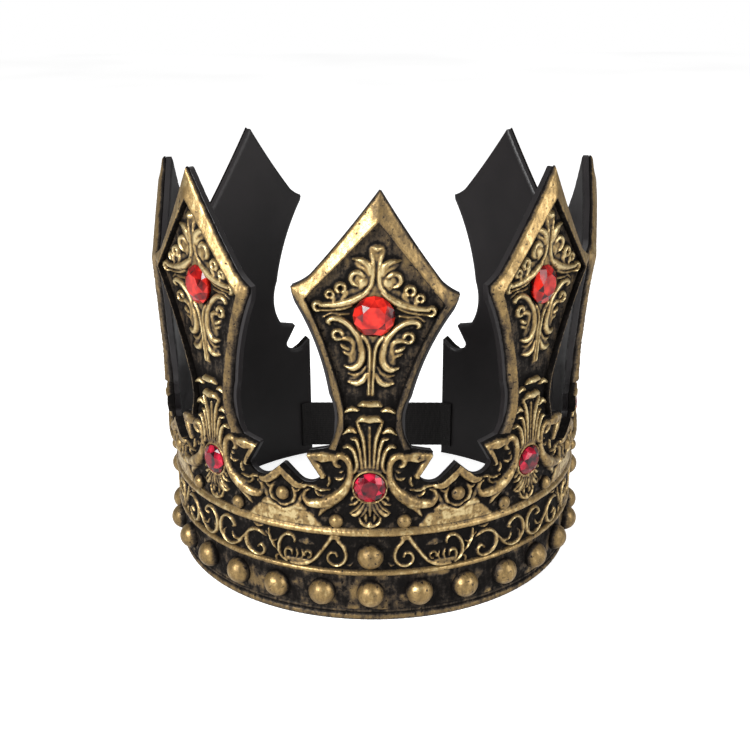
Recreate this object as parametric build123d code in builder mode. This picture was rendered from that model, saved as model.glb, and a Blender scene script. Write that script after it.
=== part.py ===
"""Costume crown: a C-shaped foam band with seven kite-shaped spikes, dressed with raised gold ornament.

Frame: millimetres, +Z up, front spike towards -Y. The origin is under the middle of the whole crown's box,
which lies a little behind the ring's axis because the ring is open at the rear. Everything is drawn about
the ring's axis and moved to its place when it is saved.
Azimuth is counted from the front: positive towards +X, which is the viewer's right.
The ring is eight equal sectors. Seven carry a spike, and the rear one is open and bridged by a strap.
"""

import os
from math import cos, degrees, radians, sin

from build123d import *

# Plan of the band
sector_angle = 45.0
band_end_angle = 156.0
shell_inner_r = 89.0
shell_outer_r = 92.4

# Ornament layers, as radii of their outer faces
ornament_r = 94.6
frame_r = 95.4
panel_r = 93.4
frieze_r = 93.2

# Heights above the bottom edge
rim_height = 5.4
rim_bead_r = 1.7
rim_line_r = 0.9
rim_bead_set = 0.4
lower_rail_height = 22.7
lower_rail_r = 1.2
lower_rail_stand = 1.0
upper_rail_height = 41.3
upper_rail_r = 1.4
upper_rail_stand = 1.3
upper_line_r = 0.6
upper_line_rise = 1.7
upper_line_web = 0.9
upper_line_web_height = 2.0
frieze_foot_gap = 1.3
frieze_top_gap = 1.5
ornament_foot = 43.7
neck_height = 79.0
spike_height = 183.6

# Above the neck each spike drifts to its right by its lean and turns by its tilt, both in radians, and its
# tip rises above or stays below the drawing
lean_run = 30.0
stretch_foot = 144.0
leans = {
    "front": 0.05,
    "front_left": -0.112,
    "front_right": 0.115,
    "back_left": -0.015,
    "back_right": -0.035,
}
tilts = {"front": 0.05, "front_left": 0.04, "front_right": -0.02, "back_left": 0.05, "back_right": -0.06}
rises = {"front": -1.0, "front_left": 2.1, "front_right": 2.2, "side_left": -3.3, "side_right": -3.3}

# Ball studs
ball_r = 5.6
ball_ring_r = 93.4
ball_row_height = 13.1
frieze_ball_height = 30.8
ball_pitch = 12.6
balls_each_side = 12
small_ball_r = 3.1
small_ball_ring_r = 93.5
small_ball_height = 46.8
small_ball_angle = 8.5
gable_ball_height = 56.6
gables_each_side = 3

# Gems
spike_gem_r = 8.1
base_gem_r = 6.3
spike_gem_height = 138.5
front_spike_gem_height = 134.5
base_gem_height = 62.5
gem_clearance = 0.1
gem_sides = 16
gem_setting = 2.2
gem_girdle = 0.7
gem_crown_slope = 0.28
gem_foot_share = 0.86
gem_table_share = 0.6

# Where the band bends when it is opened, midway between two ball studs
flex_angle = 8.5 * ball_pitch
ornament_half_angle = flex_angle - 2 * sector_angle
gable_angle = 2.5 * sector_angle
end_gable_angle = 3.5 * sector_angle

# Rear strap
strap_thickness = 1.5
strap_width = 25.4
strap_foot = 5.0
strap_pad_angle = 4.0
strap_gap = 0.1

# Distance from the middle of the whole crown's box to the ring's axis
front_reach = ball_ring_r + ball_r
rear_reach = (shell_outer_r + upper_rail_stand + upper_rail_r) * cos(radians(180 - band_end_angle))
ring_axis_y = (front_reach - rear_reach) / 2

# Sizes of cutting tools: larger than the crown, and larger than the profile of a ring or a gem's depth
reach = 130.0
tall = 200.0
profile_room = 5.0
gem_room = 20.0

spikes = {
    "front": 0.0,
    "front_left": -sector_angle,
    "front_right": sector_angle,
    "side_left": -2 * sector_angle,
    "side_right": 2 * sector_angle,
    "back_left": -3 * sector_angle,
    "back_right": 3 * sector_angle,
}
zones = {
    "front": (-flex_angle, flex_angle),
    "rear_left": (-band_end_angle, -flex_angle),
    "rear_right": (flex_angle, band_end_angle),
}


def on_ring(azimuth, radius, height=0.0):
    """Point at an azimuth, a radius and a height."""
    return (radius * sin(radians(azimuth)), -radius * cos(radians(azimuth)), height)


def facing_plane(azimuth, radius=0.0, height=0.0):
    """Plane that faces outwards at an azimuth, with its x along the band and its y up."""
    across = (cos(radians(azimuth)), sin(radians(azimuth)), 0)
    outward = (sin(radians(azimuth)), -cos(radians(azimuth)), 0)
    return Plane(origin=on_ring(azimuth, radius, height), x_dir=across, z_dir=outward)


def radial_plane(azimuth):
    """Upright plane through the axis, with its x pointing outwards at an azimuth."""
    outward = (sin(radians(azimuth)), -cos(radians(azimuth)), 0)
    back = (-cos(radians(azimuth)), -sin(radians(azimuth)), 0)
    return Plane(origin=(0, 0, 0), x_dir=outward, z_dir=back)


def drift(lean, z):
    """Sideways shift of a spike's middle at a height: it starts softly at the neck, then runs straight."""
    up = max(z - neck_height, 0.0)
    return lean * (up**2 / (2 * lean_run) if up < lean_run else up - lean_run / 2)


def in_zone(azimuth, zone):
    """Whether an azimuth lies in a zone."""
    return zones[zone][0] < azimuth < zones[zone][1]


def wedge(start, end, height=tall):
    """Upright slice of space between two azimuths less than 180 degrees apart."""
    far = reach / cos(radians((end - start) / 2))
    with BuildPart() as slice_of_space:
        with BuildSketch(Plane.XY):
            with BuildLine():
                Polyline((0, 0), on_ring(start, far)[:2], on_ring(end, far)[:2], close=True)
            make_face()
        extrude(amount=height)
    return slice_of_space.part


def ring_layer(inner_r, outer_r, start, end):
    """Upright curved wall between two radii and two azimuths."""
    with BuildPart() as layer:
        with BuildSketch(radial_plane(start)):
            with Locations(((inner_r + outer_r) / 2, tall / 2)):
                Rectangle(outer_r - inner_r, tall)
        revolve(axis=Axis.Z, revolution_arc=end - start)
    return layer.part


def save(part, label):
    """Moves a finished part from the ring's axis to its place and writes it."""
    placed = Pos(0, ring_axis_y, 0) * part
    placed.label = label
    export_step(placed, f"parts/{label}.step")


def wing_space(side):
    """Space behind the bend on one side: past the flex line up to the necks, past the gable above."""
    with BuildPart() as space:
        for start, height in ((flex_angle, neck_height), (gable_angle, tall)):
            low, high = sorted((side * start, side * band_end_angle))
            add(wedge(low, high, height))
    return space.part


def stud(radius, ring_r):
    """Ball stud with a flat back that sits on the shell; its axis is +Z and its centre the origin."""
    with BuildPart() as ball:
        Sphere(radius)
        split(bisect_by=Plane.XY.offset(shell_outer_r - ring_r), keep=Keep.TOP)
    return ball.part


def placed_by(side, spike):
    """Maps half-outline points to one side of a spike that leans and is a little taller or shorter."""
    lean, tilt, rise = leans.get(spike, 0.0), tilts.get(spike, 0.0), rises.get(spike, 0.0)

    def at(x, z):
        turn = tilt * min(max(z - neck_height, 0.0) / lean_run, 1.0)
        lift = rise * max(z - stretch_foot, 0.0) / (spike_height - stretch_foot)
        return (side * x * cos(turn) + drift(lean, z), z - side * x * sin(turn) + lift)

    return at


def sector_outline(spike=None):
    """Outline of one sector, seen from outside: a spike, two thorns, two valleys and two half gables."""
    with BuildPart() as outline:
        with BuildSketch(facing_plane(0)):
            for side in (-1, 1):
                at = placed_by(side, spike)
                with BuildLine():
                    ThreePointArc(at(0, spike_height), at(12.8, 165.1), at(25.2, 148.6))
                    ThreePointArc(at(25.2, 148.6), at(28.2, 146.2), at(31.9, 144.2))
                    Line(at(31.9, 144.2), at(31.4, 141.6))
                    ThreePointArc(at(31.4, 141.6), at(20.8, 121.0), at(15.2, 101.5))
                    ThreePointArc(at(15.2, 101.5), at(13.0, 90.0), at(17.3, 78.4))
                    Polyline(at(17.3, 78.4), at(25.9, 76.4), at(25.3, 75.2), at(20.0, 66.6))
                    ThreePointArc(at(20.0, 66.6), at(24.2, 62.6), at(30.0, 63.8))
                    Polyline(at(30.0, 63.8), at(38.0, 71.2), at(38.0, 0), at(0, 0))
                    Polyline(at(0, 0), at(0, neck_height), at(0, spike_height))
                make_face()
        extrude(amount=reach)
    return outline.part


def panel_outline(spike):
    """Outline of the recessed panel inside a spike's frame."""
    with BuildPart() as outline:
        with BuildSketch(facing_plane(0)):
            for side in (-1, 1):
                at = placed_by(side, spike)
                with BuildLine():
                    Line(at(0, 171.5), at(26.4, 140.3))
                    ThreePointArc(at(26.4, 140.3), at(16.3, 116.8), at(10.4, 96.6))
                    Polyline(at(10.4, 96.6), at(10.2, 88.0), at(13.4, neck_height))
                    Polyline(at(13.4, neck_height), at(0, neck_height), at(0, 171.5))
                make_face()
        extrude(amount=reach)
    return outline.part


half_sector = sector_angle / 2
with BuildPart() as above_neck:
    with BuildSketch(Plane.XY.offset(neck_height)):
        Rectangle(2 * reach, 2 * reach)
    extrude(amount=tall)
with BuildPart() as below_foot:
    with BuildSketch(Plane.XY):
        Rectangle(2 * reach, 2 * reach)
    extrude(amount=ornament_foot)


def sector_layer(inner_r, outer_r, outline):
    """One sector of a curved layer, cut to an outline."""
    with BuildPart() as layer:
        add(ring_layer(inner_r, outer_r, -half_sector, half_sector))
        add(outline, mode=Mode.INTERSECT)
    return layer.part


# One sector of the low ornament layer, over the whole outline
with BuildPart() as ornament_sector:
    add(sector_layer(shell_outer_r, ornament_r, sector_outline()))
    add(above_neck.part, mode=Mode.SUBTRACT)
    add(below_foot.part, mode=Mode.SUBTRACT)

os.makedirs("parts", exist_ok=True)

# Foam shell: seven sectors in one, open between the band's ends and parted where the band bends
with BuildPart() as whole_shell:
    for name, azimuth in spikes.items():
        add(sector_layer(shell_inner_r, shell_outer_r, sector_outline(name)).rotate(Axis.Z, azimuth))
    add(wedge(band_end_angle, 360 - band_end_angle), mode=Mode.SUBTRACT)

with BuildPart() as shell_front:
    add(whole_shell.part)
    for side in (-1, 1):
        add(wing_space(side), mode=Mode.SUBTRACT)
save(shell_front.part, "shell_front")

for zone, side in (("rear_left", -1), ("rear_right", 1)):
    with BuildPart() as shell_wing:
        add(whole_shell.part)
        add(wing_space(side), mode=Mode.INTERSECT)
    save(shell_wing.part, f"shell_{zone}")

# Rim bead, rails and frieze strip: rings in three lengths
for zone, (start, end) in zones.items():
    with BuildPart() as rim_bead:
        with BuildSketch(radial_plane(start)):
            with Locations((shell_outer_r - rim_bead_set, rim_bead_r)):
                Circle(rim_bead_r)
            with Locations((shell_outer_r, rim_height - rim_line_r)):
                Circle(rim_line_r)
            with Locations((shell_outer_r, rim_height / 2)):
                Rectangle(rim_line_r, rim_height - 2 * rim_line_r)
            with Locations((shell_outer_r + profile_room / 2, rim_height / 2)):
                Rectangle(profile_room, rim_height, mode=Mode.INTERSECT)
        revolve(axis=Axis.Z, revolution_arc=end - start)
    save(rim_bead.part, f"rim_bead_{zone}")

    with BuildPart() as lower_rail:
        with BuildSketch(radial_plane(start)):
            with Locations((shell_outer_r + lower_rail_stand, lower_rail_height)):
                Circle(lower_rail_r)
            with Locations((shell_outer_r + profile_room / 2, lower_rail_height)):
                Rectangle(profile_room, profile_room, mode=Mode.INTERSECT)
        revolve(axis=Axis.Z, revolution_arc=end - start)
    save(lower_rail.part, f"lower_rail_{zone}")

    with BuildPart() as upper_rail:
        with BuildSketch(radial_plane(start)):
            with Locations((shell_outer_r + upper_rail_stand, upper_rail_height)):
                Circle(upper_rail_r)
            with Locations((shell_outer_r + upper_line_web, upper_rail_height + upper_line_rise)):
                Circle(upper_line_r)
            with Locations((shell_outer_r + upper_line_web / 2, upper_rail_height + upper_line_web)):
                Rectangle(upper_line_web, upper_line_web_height)
            with Locations((shell_outer_r + profile_room / 2, upper_rail_height)):
                Rectangle(profile_room, profile_room, mode=Mode.INTERSECT)
        revolve(axis=Axis.Z, revolution_arc=end - start)
    save(upper_rail.part, f"upper_rail_{zone}")

# Large ball studs: the row below the frieze, and three in the frieze
frieze_ball_angles = (-2 * sector_angle, 0.0, 2 * sector_angle)
ball_places = {
    zone: [
        facing_plane(k * ball_pitch, ball_ring_r, ball_row_height)
        for k in range(-balls_each_side, balls_each_side + 1)
        if in_zone(k * ball_pitch, zone)
    ]
    for zone in zones
}
for azimuth in frieze_ball_angles:
    ball_places["front"].append(facing_plane(azimuth, ball_ring_r, frieze_ball_height))

for zone, places in ball_places.items():
    with BuildPart() as ball_studs:
        with Locations(*places):
            add(stud(ball_r, ball_ring_r))
    save(ball_studs.part, f"ball_studs_{zone}")

    with BuildPart() as frieze:
        with BuildSketch(radial_plane(zones[zone][0])):
            with Locations((shell_outer_r, lower_rail_height + frieze_foot_gap)):
                Rectangle(
                    frieze_r - shell_outer_r,
                    upper_rail_height - frieze_top_gap - lower_rail_height - frieze_foot_gap,
                    align=(Align.MIN, Align.MIN),
                )
        revolve(axis=Axis.Z, revolution_arc=zones[zone][1] - zones[zone][0])
        if zone == "front":
            for azimuth in frieze_ball_angles:
                with Locations(on_ring(azimuth, ball_ring_r, frieze_ball_height)):
                    Sphere(ball_r, mode=Mode.SUBTRACT)
    save(frieze.part, f"frieze_{zone}")

# Small ball studs: one each side of a base ornament, and one in each gable
small_places = {zone: [] for zone in zones}
for azimuth in spikes.values():
    for side in (-small_ball_angle, small_ball_angle):
        zone = next(z for z in zones if in_zone(azimuth, z))
        place = facing_plane(azimuth + side, small_ball_ring_r, small_ball_height)
        small_places[zone].append(place)
for k in range(-gables_each_side, gables_each_side):
    azimuth = (k + 0.5) * sector_angle
    zone = next(z for z in zones if in_zone(azimuth, z))
    small_places[zone].append(facing_plane(azimuth, small_ball_ring_r, gable_ball_height))

for zone, places in small_places.items():
    with BuildPart() as small_studs:
        with Locations(*places):
            add(stud(small_ball_r, small_ball_ring_r))
    save(small_studs.part, f"small_studs_{zone}")


def gem(radius, height):
    """Faceted round stone at the front, standing on the shell with its table outwards."""
    girdle_foot = shell_outer_r + gem_setting
    girdle_top = girdle_foot + gem_girdle
    table = girdle_top + gem_crown_slope * radius
    with BuildPart() as stone:
        with BuildSketch(facing_plane(0, shell_outer_r, height)):
            Circle(gem_foot_share * radius)
        with BuildSketch(facing_plane(0, girdle_foot, height)):
            RegularPolygon(radius, gem_sides)
        loft()
        with BuildSketch(facing_plane(0, girdle_foot, height)):
            RegularPolygon(radius, gem_sides)
        extrude(amount=girdle_top - girdle_foot)
        with BuildSketch(facing_plane(0, girdle_top, height)):
            RegularPolygon(radius, gem_sides)
        with BuildSketch(facing_plane(0, table, height)):
            RegularPolygon(gem_table_share * radius, gem_sides)
        loft()
    return stone.part


def gem_seat(radius, height):
    """Round pocket that clears a stone."""
    with BuildPart() as seat:
        with BuildSketch(facing_plane(0, shell_outer_r - profile_room, height)):
            Circle(radius + gem_clearance)
        extrude(amount=gem_room)
    return seat.part


# Base ornament under a spike: scrollwork field with a seat for the lower gem and two small studs
with BuildPart() as base_ornament_blank:
    add(ornament_sector.part)
    add(wedge(-ornament_half_angle, ornament_half_angle), mode=Mode.INTERSECT)
    add(gem_seat(base_gem_r, base_gem_height), mode=Mode.SUBTRACT)
    with Locations(
        on_ring(-small_ball_angle, small_ball_ring_r, small_ball_height),
        on_ring(small_ball_angle, small_ball_ring_r, small_ball_height),
    ):
        Sphere(small_ball_r, mode=Mode.SUBTRACT)

base_gem = gem(base_gem_r, base_gem_height)

for name, azimuth in spikes.items():
    gem_height = front_spike_gem_height if name == "front" else spike_gem_height
    shift = degrees(drift(leans.get(name, 0.0), gem_height) / shell_outer_r)

    with BuildPart() as frame_blank:
        add(sector_layer(shell_outer_r, frame_r, sector_outline(name)))
        add(above_neck.part, mode=Mode.INTERSECT)
        add(panel_outline(name), mode=Mode.SUBTRACT)
    with BuildPart() as spike_frame:
        add(frame_blank.part.rotate(Axis.Z, azimuth))
    save(spike_frame.part, f"{name}_spike_frame")

    with BuildPart() as panel_blank:
        add(sector_layer(shell_outer_r, panel_r, panel_outline(name)))
        add(gem_seat(spike_gem_r, gem_height).rotate(Axis.Z, shift), mode=Mode.SUBTRACT)
    with BuildPart() as spike_panel:
        add(panel_blank.part.rotate(Axis.Z, azimuth))
    save(spike_panel.part, f"{name}_spike_panel")

    with BuildPart() as spike_gem:
        add(gem(spike_gem_r, gem_height).rotate(Axis.Z, azimuth + shift))
    save(spike_gem.part, f"{name}_spike_gem")

    with BuildPart() as base_ornament:
        add(base_ornament_blank.part.rotate(Axis.Z, azimuth))
    save(base_ornament.part, f"{name}_base_ornament")

    with BuildPart() as lower_gem:
        add(base_gem.rotate(Axis.Z, azimuth))
    save(lower_gem.part, f"{name}_base_gem")

# Gable between two spikes, centred on the front for its outline, and the half gables at the band's ends
with BuildPart() as gable_blank:
    for side in (-half_sector, half_sector):
        add(ornament_sector.part.rotate(Axis.Z, side))
    add(wedge(ornament_half_angle - half_sector, half_sector - ornament_half_angle), mode=Mode.INTERSECT)
    with Locations(on_ring(0, small_ball_ring_r, gable_ball_height)):
        Sphere(small_ball_r, mode=Mode.SUBTRACT)

for zone in zones:
    with BuildPart() as gable_ornaments:
        for k in range(-gables_each_side, gables_each_side):
            if in_zone((k + 0.5) * sector_angle, zone):
                add(gable_blank.part.rotate(Axis.Z, (k + 0.5) * sector_angle))
        if zone == "rear_left":
            add(gable_blank.part.rotate(Axis.Z, -end_gable_angle).intersect(wedge(*zones[zone])))
        if zone == "rear_right":
            add(gable_blank.part.rotate(Axis.Z, end_gable_angle).intersect(wedge(*zones[zone])))
    save(gable_ornaments.part, f"gable_ornaments_{zone}")

# Elastic strap across the rear opening, with a pad inside each band end
strap_r = shell_inner_r - strap_gap - strap_thickness / 2
with BuildPart() as rear_strap:
    with BuildSketch(Plane.XY.offset(strap_foot)):
        with BuildLine() as strap_path:
            Polyline(
                on_ring(band_end_angle - strap_pad_angle, strap_r)[:2],
                on_ring(band_end_angle, strap_r)[:2],
                on_ring(-band_end_angle, strap_r)[:2],
                on_ring(strap_pad_angle - band_end_angle, strap_r)[:2],
            )
        trace(strap_path.line, strap_thickness)
    extrude(amount=strap_width)
save(rear_strap.part, "rear_strap")
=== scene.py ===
"""Looks for a costume crown: a black foam ring with seven kite-shaped spikes and antique gold relief.

The ornament is modelled as height maps drawn with rounded strokes on the unrolled band, in millimetres:
u runs along the band from the middle of a spike, v is the height above the bottom edge, and the height of
the relief is measured outwards from the foam. Each map is then wrapped round the ring as a closed plate.
"""

import math

import bpy
import numpy as np
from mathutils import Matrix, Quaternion, Vector
from mathutils.kdtree import KDTree


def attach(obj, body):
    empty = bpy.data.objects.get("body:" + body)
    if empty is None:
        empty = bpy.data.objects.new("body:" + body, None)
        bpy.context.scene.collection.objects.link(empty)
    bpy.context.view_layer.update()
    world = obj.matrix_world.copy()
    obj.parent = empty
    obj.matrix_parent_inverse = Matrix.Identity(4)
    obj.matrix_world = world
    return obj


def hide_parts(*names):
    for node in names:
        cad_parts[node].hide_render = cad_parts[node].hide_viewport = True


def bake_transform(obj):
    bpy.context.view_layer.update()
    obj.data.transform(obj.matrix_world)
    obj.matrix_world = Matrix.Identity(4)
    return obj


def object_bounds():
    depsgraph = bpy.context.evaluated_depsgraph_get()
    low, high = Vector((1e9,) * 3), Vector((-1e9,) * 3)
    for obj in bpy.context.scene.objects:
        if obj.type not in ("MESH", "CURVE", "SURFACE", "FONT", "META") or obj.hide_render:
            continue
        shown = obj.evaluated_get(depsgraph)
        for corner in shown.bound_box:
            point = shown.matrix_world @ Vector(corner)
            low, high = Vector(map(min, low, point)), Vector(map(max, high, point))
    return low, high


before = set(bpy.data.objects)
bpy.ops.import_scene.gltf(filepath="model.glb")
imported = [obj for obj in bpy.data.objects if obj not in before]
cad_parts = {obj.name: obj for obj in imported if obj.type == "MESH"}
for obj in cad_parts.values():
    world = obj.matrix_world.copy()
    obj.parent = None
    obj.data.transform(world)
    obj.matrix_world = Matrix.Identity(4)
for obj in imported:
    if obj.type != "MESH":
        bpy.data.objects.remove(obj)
frame_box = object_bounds()

MM = 0.001
SEED = 20

# Ring, in millimetres and degrees; its axis lies behind the row origin, which is under the box's middle
FRONT_REACH = 99.0
RING_AXIS_Y = frame_box[0].y / MM + FRONT_REACH
ARC_R = 95.0
SHELL_IN = 89.0
SHELL_OUT = 92.4
PLATE_BACK = 92.25
SECTOR = 45.0
BAND_END = 156.0
FLEX = 107.1

# Heights above the bottom edge
FOOT = 43.7
NECK = 79.0
TIP = 183.6
RIM_TOP = 5.4
LOWER_RAIL = 22.7
UPPER_RAIL = 41.3
UPPER_LINE = 43.1
FRIEZE_LOW, FRIEZE_HIGH = 23.7, 40.2

# A spike's lean sets in over this height above the neck, and its stretch above its shoulders
LEAN_RUN = 30.0
STRETCH_FOOT = 144.0

# Heights and radii of the stones, and half the widths of a base ornament and of a panel's foot
GEM_V, FRONT_GEM_V, GEM_R = 138.5, 134.5, 8.1
SMALL_GEM_V, SMALL_GEM_R = 62.5, 6.4
BASE_HALF = 28.35
PANEL_FOOT = 13.4

# How far the foam shows past the gold down the legs of a spike
LEG_MARGIN = 1.2

# Angle between the studs of the ball row
STUD_PITCH = 12.6

# Grid steps of the height maps, the gold plates and the foam, and spacing of points along an edge
FINE_STEP = 0.25
PLATE_STEP = 0.42
SHELL_STEP = 1.0
EDGE_GAP = 0.12

# How far the side spikes bulge or flare out of the ring's cylinder at a few heights
FLARE_HEIGHTS = (50.0, 64.0, 98.0, 126.0, 144.0, 162.0, 184.0)
FLARES = {
    "side_left": (0.0, 1.8, 1.8, 1.2, 0.4, 0.2, 0.2),
    "side_right": (0.0, 0.0, 0.2, 0.9, 1.9, 3.4, 4.0),
}

# Above the rail the spikes are flatter than the ring's cylinder: the share of the way to a flat sheet
FLATNESS = 0.85
FLAT_FROM, FLAT_TO = 70.0, 108.0

# Sector, sideways lean and tilt in radians, and extra height of each spike
SPIKES = {
    "front": (0, 0.05, 0.05, -1.0),
    "front_left": (-1, -0.112, 0.04, 2.1),
    "front_right": (1, 0.115, -0.02, 2.2),
    "side_left": (-2, 0.0, 0.0, -3.3),
    "side_right": (2, 0.0, 0.0, -3.3),
    "back_left": (-3, -0.015, 0.05, 0.0),
    "back_right": (3, -0.035, -0.06, 0.0),
}
BY_SECTOR = {place[0]: name for name, place in SPIKES.items()}

# CAD bodies of the two sides behind the bend
WINGS = {-1: "rear_left", 1: "rear_right"}


def arc(degrees):
    """Arc length along the band for an azimuth."""
    return math.radians(degrees) * ARC_R


def flare_at(u, v):
    """How far the side spikes stand out of the ring's cylinder at a point."""
    amount = 0.0
    for name, flares in FLARES.items():
        away = np.abs(u - arc(SPIKES[name][0] * SECTOR))
        amount = amount + (1 - ramp(away, 26, 36)) * np.interp(v, FLARE_HEIGHTS, flares)
    return amount


def on_ring(u, radius, v):
    """Points of the row frame, in metres, from arc length, radius and height."""
    u = np.asarray(u, float)
    radius, v = np.broadcast_to(radius, u.shape), np.broadcast_to(v, u.shape)
    middle = arc(SECTOR) * np.round(u / arc(SECTOR))
    across, flat = u - middle, FLATNESS * ramp(v, FLAT_FROM, FLAT_TO)
    azimuth = (middle + (1 - flat) * across) / ARC_R + flat * np.arctan(across / radius)
    radius = radius + flat * (np.hypot(radius, across) - radius) + flare_at(u, v)
    x = radius * np.sin(azimuth)
    y = RING_AXIS_Y - radius * np.cos(azimuth)
    return np.stack([x, y, v], -1) * MM


# --- curves and height maps


def smooth_path(points, gap=0.18):
    """Closely spaced points of a smooth curve through the given ones, with their share of the way."""
    p = np.array(points, float)
    if len(p) == 1:
        return p, np.zeros(1)
    padded = np.vstack([2 * p[0] - p[1], p, 2 * p[-1] - p[-2]])
    pieces, shares = [], []
    for i in range(len(p) - 1):
        a, b, c, d = padded[i:i + 4]
        count = max(2, int(np.linalg.norm(c - b) / gap) + 1)
        t = np.linspace(0, 1, count, endpoint=False)
        s = t[:, None]
        pieces.append(b + 0.5 * s * (c - a + s * (2 * a - 5 * b + 4 * c - d + s * (3 * (b - c) + d - a))))
        shares.append(i + t)
    pieces.append(p[-1:])
    shares.append([len(p) - 1.0])
    return np.vstack(pieces), np.concatenate(shares) / (len(p) - 1)


def blurred(grid, reach):
    """Gaussian blur of a grid, with its reach in cells."""
    n = int(2.5 * reach) + 1
    kernel = np.exp(-0.5 * (np.arange(-n, n + 1) / reach) ** 2)
    kernel /= kernel.sum()
    for axis in (0, 1):
        pad = [(n, n) if axis == a else (0, 0) for a in (0, 1)]
        wide = np.pad(grid, pad, mode="edge")
        size = grid.shape[axis]
        grid = sum(k * np.take(wide, np.arange(i, i + size), axis) for i, k in enumerate(kernel))
    return grid


def ramp(x, low, high):
    """Smooth step from 0 at low to 1 at high."""
    t = np.clip((x - low) / (high - low), 0, 1)
    return t * t * (3 - 2 * t)


def densify(points, gap):
    """Closed polygon with points added so that none are further apart than about the gap."""
    points = np.array(points, float)
    out = []
    for a, b in zip(points, np.roll(points, -1, axis=0)):
        count = max(1, int(np.linalg.norm(b - a) / gap))
        out.append(a + (b - a) * np.linspace(0, 1, count, endpoint=False)[:, None])
    return np.vstack(out)


def bilinear(grid, ix, iy, fx, fy):
    """Reading of a grid between its points, from whole and fractional places."""
    top = grid[iy, ix] * (1 - fx) + grid[iy, ix + 1] * fx
    low = grid[iy + 1, ix] * (1 - fx) + grid[iy + 1, ix + 1] * fx
    return top * (1 - fy) + low * fy


def value_noise(rng, shape, cell):
    """Smooth random grid between 0 and 1 with features of about one cell."""
    coarse = rng.random((int(shape[0] / cell) + 3, int(shape[1] / cell) + 3))
    y, x = np.arange(shape[0])[:, None] / cell, np.arange(shape[1])[None] / cell
    ix, iy = x.astype(int), y.astype(int)
    return bilinear(coarse, ix, iy, ramp(x - ix, 0, 1), ramp(y - iy, 0, 1))


class Relief:
    """Height map over part of the unrolled band, with the tone its ground is painted in.

    fullness and boldness scale the strokes' widths and heights; base_v is the height they are drawn from.
    """

    def __init__(self, u_span, v_span, ground, tone, fullness=1.0, boldness=1.0):
        self.fullness, self.boldness, self.base_v = fullness, boldness, 0.0
        self.low = np.array([u_span[0], v_span[0]])
        columns = int((u_span[1] - u_span[0]) / FINE_STEP) + 2
        rows = int((v_span[1] - v_span[0]) / FINE_STEP) + 2
        self.u, self.v = np.meshgrid(
            u_span[0] + FINE_STEP * np.arange(columns), v_span[0] + FINE_STEP * np.arange(rows)
        )
        self.ground = ground
        self.h = np.full(self.u.shape, float(ground))
        self.tone = np.full(self.u.shape, float(tone))

    def window(self, path, reach):
        """Slices of the grid within reach of a path."""
        low = np.floor((path.min(0) - reach - self.low) / FINE_STEP).astype(int)
        high = np.ceil((path.max(0) + reach - self.low) / FINE_STEP).astype(int) + 1
        low = np.maximum(low, 0)
        return slice(low[1], max(high[1], 0)), slice(low[0], max(high[0], 0))

    def nearness(self, points, width):
        """Window round a path, and per cell and path point the square of distance over half width."""
        path, share = smooth_path(points)
        path = path + (0, self.base_v)
        widths = np.atleast_1d(np.array(width, float)) * self.fullness
        half = np.interp(share, np.linspace(0, 1, len(widths)), widths) / 2
        window = self.window(path, half.max())
        du = self.u[window][..., None] - path[:, 0]
        dv = self.v[window][..., None] - path[:, 1]
        return window, (du * du + dv * dv) / np.maximum(half, 0.05) ** 2, half / half.max()

    def stroke(self, points, width, top, power=1.0):
        """Raises a rounded bead along a smooth path; a higher power gives it a flatter crown."""
        window, near, size = self.nearness(points, width)
        if near.size:
            lift = self.boldness * top * size**0.6 * np.sqrt(np.clip(1 - near**power, 0, None))
            lift = np.where(near < 1, self.ground + lift, -9.0).max(-1)
            self.h[window] = np.maximum(self.h[window], lift)

    def ring(self, centre, radius, width, top, start=0.0, turn=360.0):
        """Raises a bead along a circle or part of it."""
        angles = np.radians(np.linspace(start, start + turn, 13))
        points = [(centre[0] + radius * math.cos(a), centre[1] + radius * math.sin(a)) for a in angles]
        self.stroke(points, width, top)

    def roughen(self, rng, where, depth):
        """Pits the surface with fine random speckle, as strong as the mask where."""
        speckle = value_noise(rng, self.h.shape, 2.4) + 0.6 * value_noise(rng, self.h.shape, 5.5)
        self.h += depth * where * (speckle - 0.8)

    def finish(self):
        """Softens the strokes a little and derives how much gold the brush left on every point."""
        self.h = blurred(self.h, 0.7)
        crest = self.h - blurred(self.h, 3.2)
        broad = self.h - blurred(self.h, 9.0)
        raised = ramp(self.h, self.ground + 0.2, self.ground + 1.3)
        crest = np.where(crest < 0, 1.5 * crest, 0.5 * crest)
        self.tone = np.clip(self.tone + 0.38 * raised + crest + 0.16 * broad, 0, 1)

    def sample(self, grid, u, v):
        """Bilinear reading of one of the grids at any points."""
        x = np.clip((u - self.low[0]) / FINE_STEP, 0, grid.shape[1] - 1.001)
        y = np.clip((v - self.low[1]) / FINE_STEP, 0, grid.shape[0] - 1.001)
        ix, iy = x.astype(int), y.astype(int)
        return bilinear(grid, ix, iy, x - ix, y - iy)

    def read(self, u, v):
        """Height and tone at any points."""
        return self.sample(self.h, u, v), self.sample(self.tone, u, v)

    def read_folded(self, points):
        """Height and tone at points on either side of the middle: the left half mirrors the right."""
        return self.read(np.abs(points[:, 0]), points[:, 1])


# --- outlines


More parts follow.
